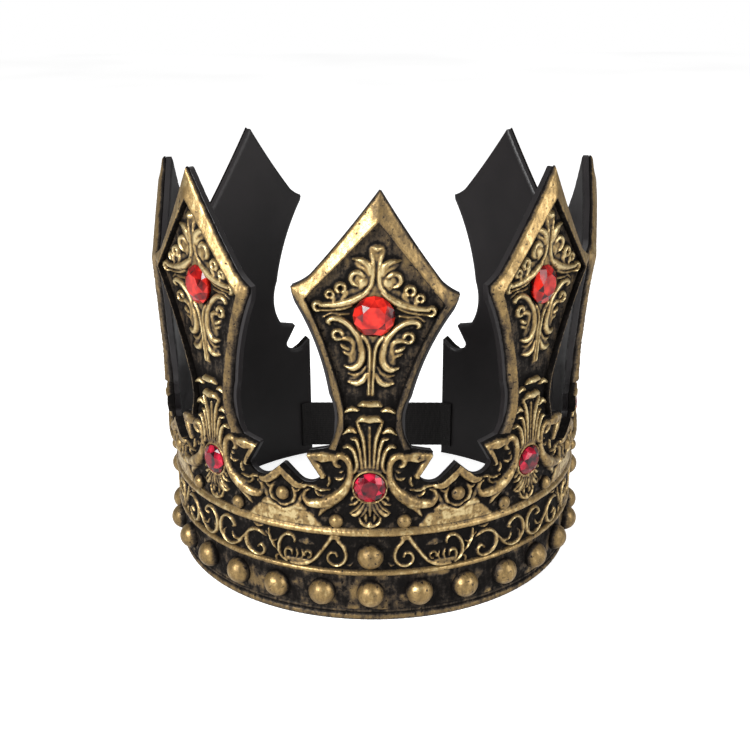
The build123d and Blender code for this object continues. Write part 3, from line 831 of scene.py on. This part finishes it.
def build_gables(relief):
    """The gables between spikes, and the half gables at the band's ends."""
    half_gap = arc(SECTOR / 2) - BASE_HALF
    side = HALF_OUTLINE[NECK_POINT:]
    side = side[side[:, 0] > BASE_HALF + 0.2] - (arc(SECTOR / 2), 0)
    half = np.vstack([(-half_gap, FOOT), (-half_gap, SPLIT_V), side])

    def read(points):
        return relief.read(arc(SECTOR / 2) - np.abs(points[:, 0]), points[:, 1])

    for k in range(-4, 4):
        centre = arc(SECTOR) * (k + 0.5)
        if k in (-4, 3):
            end = arc(BAND_END - 3.5 * SECTOR)
            kept = half[half[:, 0] < end]
            edge = np.vstack([kept, (end, np.interp(end, half[:, 0], half[:, 1])), (end, FOOT)])
            if k == -4:
                edge = mirrored(edge)
        else:
            edge = np.vstack([half, mirrored(half)])
        body = "front" if -3 < k < 2 else WINGS[-1 if k < 0 else 1]
        piece = relief_plate(f"gable_look_{k + 4}", Region(edge), centre, read, 0.10, half_gap)
        stand_for(f"gable_ornaments_{body}", piece, body)


def build_shell():
    """Foam shell: the front with five spikes, and a wing with one spike on each side."""
    margins = {k: 0.0 if abs(k) == 3 else LEG_MARGIN for k in BY_SECTOR}
    sectors = {k: both_sides(grown(HALF_OUTLINE, margin)) for k, margin in margins.items()}
    count = len(HALF_OUTLINE)
    right_neck, left_neck = count - 1 + NECK_POINT, count - 1 - NECK_POINT

    def top(k, first=0, last=None):
        return settled(sectors[k][first:last], BY_SECTOR[k]) + (arc(SECTOR) * k, 0)

    edge = np.vstack([top(-2, left_neck), top(-1), top(0), top(1), top(2, 0, right_neck + 1)])
    edge = np.vstack([edge, (edge[-1, 0], 0), (edge[0, 0], 0)])
    piece = shell_plate("shell_look_front", Region(edge))
    stand_for("shell_front", piece, "front")

    wings = {"rear_right": [top(2, right_neck), top(3)], "rear_left": [top(-3), top(-2, 0, left_neck + 1)]}
    for side, body in WINGS.items():
        edge = np.vstack(wings[body])
        kept = edge[np.abs(edge[:, 0]) < arc(BAND_END)]
        end = (side * arc(BAND_END), np.interp(arc(BAND_END), *gable_run(edge, side)))
        edge = np.vstack([kept, end] if side > 0 else [end, kept])
        edge = np.vstack([edge, (edge[-1, 0], 0), (edge[0, 0], 0)])
        piece = shell_plate(f"shell_look_{body}", Region(edge))
        bend_with_wing(f"shell_{body}", piece)


def gable_run(edge, side):
    """Distance along the band and height of the last straight slope of a wing's edge."""
    run = edge[-2:] if side > 0 else edge[1::-1]
    return np.abs(run[:, 0]), run[:, 1]


def shell_plate(name, region):
    """Thick curved foam sheet with softened edges."""
    points, quads, distance = region.plate(SHELL_STEP)
    faces, _ = closed_plate(quads, len(points))
    soft = 0.55 * np.clip(1 - distance / 0.9, 0, 1) ** 2
    soft[points[:, 1] < 0.5] = 0
    return wrapped(name, points, faces, SHELL_OUT - soft, SHELL_IN + soft, "black_foam")


def cord(v, middle, radius, base):
    """Heights across a round cord lying on a base, with low ground on both sides of it."""
    off = np.abs(v - middle)
    return np.where(off < radius, np.sqrt(np.clip(radius**2 - off**2, 0, None)) + base, 0.3)


def read_rim(u, v):
    """Bead and line along the bottom edge."""
    height = np.maximum(np.maximum(cord(v, 1.7, 1.7, -0.4), cord(v, 4.5, 0.9, 0.0)), 0.35)
    height = height + 0.05 * np.sin(u * 2.1) * np.sin(u * 0.37 + v)
    return height, 0.10 + 0.42 * ramp(height, 0.5, 1.25)


def read_lower_rail(u, v):
    """Ribbed cord between the ball row and the frieze."""
    height = cord(v, LOWER_RAIL, 1.25, 0.85) + 0.05 * np.sin(u * 4.2 + 1.3 * v) + 0.05 * np.sin(u * 0.9)
    return height, 0.25 + 0.5 * ramp(height, 0.6, 1.9)


def read_upper_rail(u, v):
    """Thick cord over the frieze with a fine line above it."""
    height = np.maximum(cord(v, UPPER_RAIL, 1.45, 1.1), cord(v, UPPER_LINE, 0.6, 0.9))
    height = height + 0.04 * np.sin(u * 3.1 + 1.1 * v) + 0.06 * np.sin(u * 0.7 + 1)
    return height, 0.28 + 0.5 * ramp(height, 0.7, 2.2)


def build_rings():
    """Rim, rails and frieze: one length on the front and one on each wing."""
    frieze = frieze_relief()
    quarter, radius_ratio = arc(2 * SECTOR), 93.0 / ARC_R

    def read_frieze(u, v):
        folded = np.abs((u + quarter / 2) % quarter - quarter / 2)
        return frieze.read(folded * radius_ratio, v)

    rng = np.random.default_rng(SEED)
    bed = Relief((-arc(BAND_END) - 1, arc(BAND_END) + 1), (RIM_TOP - 1, LOWER_RAIL), ground=0.25, tone=0.10)
    smudge = value_noise(rng, bed.h.shape, 22) * 0.7 + value_noise(rng, bed.h.shape, 7) * 0.3
    bed.h += 0.35 * smudge + 0.12 * value_noise(rng, bed.h.shape, 3)
    bed.tone += 0.42 * ramp(smudge, 0.42, 0.85)
    bed.tone += 0.16 * ramp(bed.v, 18.5, 21.5) + 0.12 * (1 - ramp(bed.v, 5.0, 7.5))

    bands = {
        "ball_bed": (RIM_TOP - 0.2, LOWER_RAIL - 1.3, bed.read),
        "rim_bead": (0.0, RIM_TOP, read_rim),
        "lower_rail": (LOWER_RAIL - 1.5, LOWER_RAIL + 1.4, read_lower_rail),
        "frieze": (FRIEZE_LOW, FRIEZE_HIGH, read_frieze),
        "upper_rail": (UPPER_RAIL - 1.6, FOOT + 0.1, read_upper_rail),
    }
    cut, end = arc(CUT), arc(BAND_END)
    for name, (low, high, read) in bands.items():
        node = "ball_studs" if name == "ball_bed" else name
        piece = grid_band(f"{name}_look_front", -cut, cut, low, high, read)
        stand_for(f"{node}_front", piece, "front")
        for side, body in WINGS.items():
            u0, u1 = sorted((side * cut, side * end))
            piece = grid_band(f"{name}_look_{body}", u0, u1, low, high, read)
            bend_with_wing(f"{node}_{body}", piece)


def facing(u):
    """Directions at an arc length of the band: outwards, sideways and up."""
    sine, cosine = math.sin(u / ARC_R), math.cos(u / ARC_R)
    return np.array([(sine, -cosine, 0), (cosine, sine, 0), (0, 0, 1)])


def stud_points(radius, ring_r, u, v, rings=9, around=28):
    """Points, faces and tones of one domed stud on the band, flat at the back."""
    foot = math.acos(min(1.0, max(-1.0, (SHELL_OUT - 0.1 - ring_r) / radius)))
    polar = np.linspace(0, foot, rings + 1)[1:]
    turn = np.linspace(0, math.tau, around, endpoint=False)
    out = np.concatenate([[radius], np.repeat(radius * np.cos(polar), around)])
    across = np.concatenate([[0], np.outer(radius * np.sin(polar), np.cos(turn)).ravel()])
    up = np.concatenate([[0], np.outer(radius * np.sin(polar), np.sin(turn)).ravel()])
    points = (np.stack([ring_r + out, across, up], -1) @ facing(u) + (0, RING_AXIS_Y, v)) * MM
    index = np.arange(rings * around).reshape(rings, around) + 1
    faces = [(0, a, b) for a, b in zip(index[0], np.roll(index[0], -1))]
    faces += tube_quads(index) + [index[-1, ::-1].tolist()]
    share = np.concatenate([[0], np.repeat(polar / (math.pi / 2), around)])
    return points, faces, 0.70 - 0.66 * ramp(share, 0.62, 1.0)


def stud_piece(name, places):
    """One piece of several studs, each given as radius, ring radius, arc length and height."""
    points, faces, tones, offset = [], [], [], 0
    for place in places:
        p, f, t = stud_points(*place)
        points.append(p)
        tones.append(t)
        faces += [[i + offset for i in face] for face in f]
        offset += len(p)
    return make_piece(name, np.vstack(points), faces, "antique_gold", np.concatenate(tones))


def build_studs():
    """The ball row, the frieze studs and the small studs of bases and gables."""
    row_v, frieze_v, base_v, gable_v = 13.1, 30.8, 46.8, 56.6
    # radius of each kind of ball, and of the ring its centres stand on
    ball, frieze_ball, small_ball = (5.9, 93.1), (5.6, 93.2), (3.1, 93.5)
    front = (-FLEX, FLEX)
    zones = {"front": front, "rear_left": (-BAND_END - 1, -FLEX), "rear_right": (FLEX, BAND_END + 1)}
    row = [STUD_PITCH * k for k in range(-12, 13)]
    bases = [SECTOR * k + side * 8.5 for k in BY_SECTOR for side in (-1, 1)]
    gables = [SECTOR * (k + 0.5) for k in range(-3, 3)]

    def studs(shape, angles, v, zone):
        return [(*shape, arc(a), v) for a in angles if zone[0] < a < zone[1]]

    for body, zone in zones.items():
        large = studs(ball, row, row_v, zone)
        if zone is front:
            large += studs(frieze_ball, (-90, 0, 90), frieze_v, zone)
        stand_for(f"ball_studs_{body}", stud_piece(f"ball_studs_look_{body}", large), body)
        small = studs(small_ball, bases, base_v, zone) + studs(small_ball, gables, gable_v, zone)
        stand_for(f"small_studs_{body}", stud_piece(f"small_studs_look_{body}", small), body)


def stone(name, u, v, radius, twist, slot):
    """Round brilliant stone, flat faceted, standing on the shell with its table outwards."""
    girdle, crown, foot = 2.6, 0.30 * radius, SHELL_OUT - 0.1 + flare_at(u, v)
    # height above the foot, share of the radius, number of corners and shift by part of a corner
    levels = [
        (0.0, 0.9, 16, 0.0), (girdle - 0.6, 1.0, 16, 0.0), (girdle, 1.0, 16, 0.0),
        (girdle + 0.55 * crown, 0.83, 8, 0.5), (girdle + crown, 0.56, 8, 0.0),
    ]
    points = []
    for out, share, count, shift in levels:
        for i in range(count):
            a = twist + math.tau * (i + shift) / count
            points.append((foot + out, radius * share * math.cos(a), radius * share * math.sin(a)))
    points = (np.array(points) @ facing(u) + (0, RING_AXIS_Y, v)) * MM
    faces = [tuple(reversed(range(16)))]
    for low in (0, 16):
        faces += [(low + i, low + (i + 1) % 16, low + 16 + (i + 1) % 16, low + 16 + i) for i in range(16)]
    rim, star, table = 32, 48, 56
    for i in range(8):
        after, before, rim_i = (i + 1) % 8, (i - 1) % 8, rim + 2 * i
        faces.append((star + before, rim_i, star + i, table + i))
        faces.append((star + i, table + after, table + i))
        faces.append((star + i, rim_i, rim_i + 1))
        faces.append((star + i, rim_i + 1, rim + (2 * i + 2) % 16))
    faces.append(tuple(table + i for i in range(8)))
    piece = make_piece(name, points, faces, slot, crease=1.0)
    # random brightness of every facet, which the gem paint turns into a painted reflection of the foil
    facet = piece.data.attributes.new("facet", "FLOAT", "FACE")
    rng = np.random.default_rng(SEED + int(abs(u) * 10) + int(v))
    facet.data.foreach_set("value", rng.random(len(piece.data.polygons)).astype(np.float32))
    return piece


def build_strap():
    """Woven elastic across the rear opening, in two halves, each from the end of a wing to the middle."""
    strap_r, thickness, width, foot, soft = 88.15, 1.5, 25.4, 5.0, 0.4
    ends = [on_ring(arc(a), strap_r, 0.0)[:2] / MM for a in (BAND_END - 4.0, BAND_END)]
    middle = np.array([0.0, ends[1][1]])
    for side, body in WINGS.items():
        path = np.array([ends[0], ends[1], middle]) * (side, 1)
        lengths = np.concatenate([[0], np.cumsum(np.linalg.norm(np.diff(path, axis=0), axis=1))])
        s = np.linspace(0, lengths[-1], 90)
        line = np.stack([np.interp(s, lengths, path[:, i]) for i in (0, 1)], -1)
        along = np.gradient(line, axis=0)
        normal = np.stack([-along[:, 1], along[:, 0]], -1)
        normal /= np.linalg.norm(normal, axis=1)[:, None]
        corners = [(-0.5, 0.0), (-1, soft), (-1, width - soft), (-0.5, width)]
        corners += [(-t, z) for t, z in reversed(corners)]
        section = [(t * thickness / 2, z) for t, z in corners]
        rows = []
        for t, z in densify(section, 0.8):
            wave = 0.10 * np.sin(s * 1.9 + z * 0.4) * math.copysign(1, t)
            rows.append(np.column_stack([line + normal * (t + wave)[:, None], np.full(len(s), z + foot)]))
        index = np.arange(len(rows) * len(s)).reshape(len(rows), len(s)).T
        faces = tube_quads(index) + [index[0].tolist(), index[-1, ::-1].tolist()]
        if side > 0:
            faces = [face[::-1] for face in faces]
        piece = make_piece(f"strap_look_{body}", np.vstack(rows) * MM, faces, "black_elastic")
        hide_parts("rear_strap")
        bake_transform(piece)


# --- materials


def linear(code):
    """Linear colour with alpha from a display colour written as six hex digits."""
    channels = [int(code[i:i + 2], 16) / 255 for i in (0, 2, 4)]
    return [c / 12.92 if c < 0.04045 else ((c + 0.055) / 1.055) ** 2.4 for c in channels] + [1.0]


class Nodes:
    """Short way to wire a node material."""

    def __init__(self, name):
        self.material = bpy.data.materials.new(name)
        self.material.use_nodes = True
        self.tree = self.material.node_tree
        self.surface = self.tree.nodes["Principled BSDF"]

    def add(self, kind, inputs=None, **settings):
        """Adds a node, sets its properties and its inputs, each a value or another node's socket."""
        node = self.tree.nodes.new(kind)
        for key, value in settings.items():
            setattr(node, key, value)
        for key, value in (inputs or {}).items():
            self.put(node.inputs[key], value)
        return node

    def put(self, socket, value):
        """Feeds a socket from another one or with a value."""
        if isinstance(value, bpy.types.NodeSocket):
            self.tree.links.new(value, socket)
        else:
            socket.default_value = value

    def math(self, operation, a, b=0.0, clamp=False):
        """Result of a maths node."""
        return self.add("ShaderNodeMath", {0: a, 1: b}, operation=operation, use_clamp=clamp).outputs[0]

    def noise(self, scale, detail=4.0, roughness=0.6, stretch=None):
        """Noise over the object's own coordinates, in features per metre."""
        place = self.add("ShaderNodeTexCoord").outputs["Object"]
        if stretch:
            place = self.add("ShaderNodeMapping", {"Vector": place, "Scale": stretch}).outputs[0]
        inputs = {"Vector": place, "Scale": scale, "Detail": detail, "Roughness": roughness}
        return self.add("ShaderNodeTexNoise", inputs).outputs["Fac"]

    def colours(self, factor, *stops):
        """Colour ramp through (position, display colour) stops."""
        node = self.add("ShaderNodeValToRGB", {"Fac": factor})
        elements = node.color_ramp.elements
        while len(elements) < len(stops):
            elements.new(0.5)
        for element, (position, code) in zip(elements, stops):
            element.position = position
            element.color = linear(code)
        return node.outputs["Color"]

    def ramp(self, factor, low, high, out_low=0.0, out_high=1.0):
        """Linear change of range, clamped."""
        inputs = {"Value": factor, "From Min": low, "From Max": high, "To Min": out_low, "To Max": out_high}
        return self.add("ShaderNodeMapRange", inputs).outputs[0]

    def bump(self, height, strength, distance):
        """Normal from a height."""
        inputs = {"Height": height, "Strength": strength, "Distance": distance}
        return self.add("ShaderNodeBump", inputs).outputs[0]

    def principled(self, **inputs):
        """Sets the surface shader's inputs, with underscores for spaces."""
        for key, value in inputs.items():
            self.put(self.surface.inputs[key.replace("_", " ")], value)
        return self.material


def gold_paint():
    """Antique gold rubbed over a black-brown ground: dark in the hollows, bright and worn on the ridges."""
    n = Nodes("antique_gold_paint")
    # the attribute holds how much gold the brush left and, on the spike frames, their painted shade on the
    # right side
    gilt_and_shade = n.add("ShaderNodeAttribute", attribute_name="gilt_and_shade").outputs["Fac"]
    cloud = n.ramp(n.noise(160, 5, 0.65), 0.25, 0.75, -0.13, 0.13)
    grain, pits = n.noise(900, 3, 0.7), n.noise(620, 2, 0.5)
    streak = n.ramp(n.noise(420, 3, 0.6, stretch=(1.0, 1.0, 0.25)), 0.3, 0.7, -0.16, 0.14)
    worn = gilt_and_shade
    for wear_and_shade in (cloud, n.ramp(grain, 0.3, 0.7, -0.09, 0.09), streak):
        worn = n.math("ADD", worn, wear_and_shade)
    worn = n.math("SUBTRACT", worn, n.ramp(pits, 0.27, 0.37, 0.40, 0.0), clamp=True)
    colour = n.colours(worn, (0.0, "0e0c0b"), (0.20, "1c1815"), (0.38, "443829"), (0.58, "786340"),
                       (0.78, "9e8457"), (1.0, "c8b485"))
    height = n.math("ADD", n.math("MULTIPLY", grain, 0.5), n.math("MULTIPLY", pits, 0.8))
    return n.principled(
        Base_Color=colour,
        Metallic=n.ramp(worn, 0.25, 0.7, 0.0, 0.82),
        Roughness=n.ramp(worn, 0.1, 0.8, 0.68, 0.38),
        Specular_IOR_Level=n.ramp(worn, 0.1, 0.6, 0.06, 0.40),
        Normal=n.bump(height, 0.35, 0.0004),
    )


def foam_skin():
    """Black moulded foam with a satin skin."""
    n = Nodes("black_foam_skin")
    cloud = n.noise(28, 3, 0.5)
    grain = n.noise(1400, 2, 0.5)
    return n.principled(
        Base_Color=n.colours(cloud, (0.3, "110e0f"), (0.7, "1d191a")),
        Roughness=n.ramp(cloud, 0.3, 0.7, 0.40, 0.50),
        Specular_IOR_Level=0.4,
        Normal=n.bump(grain, 0.12, 0.0002),
    )


def gem_acrylic(name, deep, body, bright):
    """Foil-backed acrylic with painted light: each facet gets its own painted brightness for the foil's
    reflection, the rim is painted darker and the colour glows faintly.
    """
    n = Nodes(name)
    facet = n.add("ShaderNodeAttribute", attribute_name="facet").outputs["Fac"]
    inner = n.noise(240, 2, 0.5)
    rim = n.add("ShaderNodeLayerWeight", {"Blend": 0.35}).outputs["Facing"]
    # painted reflection: random brightness per facet and from a fine noise, with painted shade towards the
    # rim
    light = n.math("ADD", n.math("MULTIPLY", facet, 0.90), n.ramp(inner, 0.35, 0.65, -0.20, 0.30))
    light = n.math("SUBTRACT", light, n.math("MULTIPLY", rim, 0.35), clamp=True)
    colour = n.colours(light, (0.0, deep), (0.52, body), (1.0, bright))
    return n.principled(
        Base_Color=colour,
        Roughness=0.10,
        Specular_IOR_Level=0.3,
        Coat_Weight=0.15,
        Coat_Roughness=0.03,
        # painted glow: the stone emits a little of its own colour
        Emission_Color=colour,
        Emission_Strength=0.04,
    )


def elastic_weave():
    """Woven elastic: fine ribs along the strap, crossed by the weft."""
    n = Nodes("black_elastic_weave")
    place = n.add("ShaderNodeTexCoord").outputs["Object"]
    ribs = n.add("ShaderNodeTexWave", {"Vector": place, "Scale": 260.0, "Distortion": 0.6},
                 bands_direction="Z").outputs["Fac"]
    weft = n.add("ShaderNodeTexWave", {"Vector": place, "Scale": 340.0, "Distortion": 0.8},
                 bands_direction="X").outputs["Fac"]
    fuzz = n.noise(900, 3, 0.6)
    weave = n.math("ADD", n.math("MULTIPLY", ribs, weft), n.math("MULTIPLY", fuzz, 0.4))
    return n.principled(
        Base_Color=n.colours(weave, (0.1, "0b0908"), (0.9, "1c1817")),
        Roughness=0.85,
        Normal=n.bump(weave, 0.5, 0.0004),
    )


FINISHES = {
    "antique_gold": gold_paint(),
    "black_foam": foam_skin(),
    "orange_red_gem": gem_acrylic("orange_red_acrylic", "2e0103", "8e0c0a", "d4281b"),
    "crimson_gem": gem_acrylic("crimson_acrylic", "200108", "7c061c", "cc203f"),
    "black_elastic": elastic_weave(),
}


# --- studio


def area_light(name, place, target, size, power):
    """Square soft light aimed at a point."""
    light = bpy.data.lights.new(name, "AREA")
    light.size, light.energy = size, power
    lamp = bpy.data.objects.new(name, light)
    lamp.location = place
    lamp.rotation_euler = (Vector(target) - Vector(place)).to_track_quat("-Z", "Y").to_euler()
    bpy.context.scene.collection.objects.link(lamp)


def build_studio():
    """White floor and surroundings with soft light from the upper left."""
    world = bpy.data.worlds.new("studio")
    bpy.context.scene.world = world
    world.use_nodes = True
    tree = world.node_tree
    seen = tree.nodes.new("ShaderNodeLightPath").outputs["Is Camera Ray"]
    ambient, backdrop = 0.27, 1.0
    strength = tree.nodes.new("ShaderNodeMapRange")
    strength.inputs["To Min"].default_value, strength.inputs["To Max"].default_value = ambient, backdrop
    background = tree.nodes["Background"]
    background.inputs["Color"].default_value = (1, 1, 1, 1)
    tree.links.new(seen, strength.inputs["Value"])
    tree.links.new(strength.outputs[0], background.inputs["Strength"])

    mesh = bpy.data.meshes.new("floor")
    half = 3.0
    corners = [(-half, -half, 0), (half, -half, 0), (half, half, 0), (-half, half, 0)]
    mesh.from_pydata(corners, [], [(0, 1, 2, 3)])
    floor = bpy.data.objects.new("floor", mesh)
    bpy.context.scene.collection.objects.link(floor)
    n = Nodes("pale_floor")
    pale = n.colours(n.noise(2.0, 2, 0.5), (0.3, "f6f6f6"), (0.7, "ffffff"))
    glow = n.math("MULTIPLY", n.add("ShaderNodeLightPath").outputs["Is Camera Ray"], 0.75)
    n.principled(Base_Color=pale, Roughness=0.9, Emission_Color=pale, Emission_Strength=glow)
    mesh.materials.append(n.material)

    middle = (0, 0, 0.09)
    area_light("key", (-0.60, -0.75, 0.58), middle, 0.4, 12.5)
    area_light("fill", (0.8, -0.5, 0.45), middle, 0.6, 5.5)
    area_light("top", (0.1, 0.3, 1.1), middle, 0.6, 3)


def build_camera():
    """Camera at the height and distance of a product shot, slightly to the right of the front spike."""
    data = bpy.data.cameras.new("camera")
    data.lens, data.sensor_width, data.shift_x = 54.58, 36.0, 0.00174
    camera = bpy.data.objects.new("camera", data)
    right, distance, height, target_height, roll = 9.54, 508.4, 262.25, 76.17, -0.289
    place = Vector((right, RING_AXIS_Y - distance, height)) * MM
    target = Vector((0, RING_AXIS_Y, target_height)) * MM
    camera.location = place
    camera.rotation_mode = "QUATERNION"
    aim = (target - place).to_track_quat("-Z", "Y")
    camera.rotation_quaternion = aim @ Quaternion((0, 0, 1), math.radians(roll))
    bpy.context.scene.collection.objects.link(camera)
    bpy.context.scene.camera = camera
    bpy.context.scene.view_settings.view_transform = "Standard"


reliefs = {gem: sector_relief(gem) for gem in (FRONT_GEM_V, GEM_V)}
build_shell()
build_rings()
for spike in SPIKES:
    build_spike(spike, reliefs)
build_gables(reliefs[GEM_V])
build_studs()
build_strap()
build_studio()
build_camera()
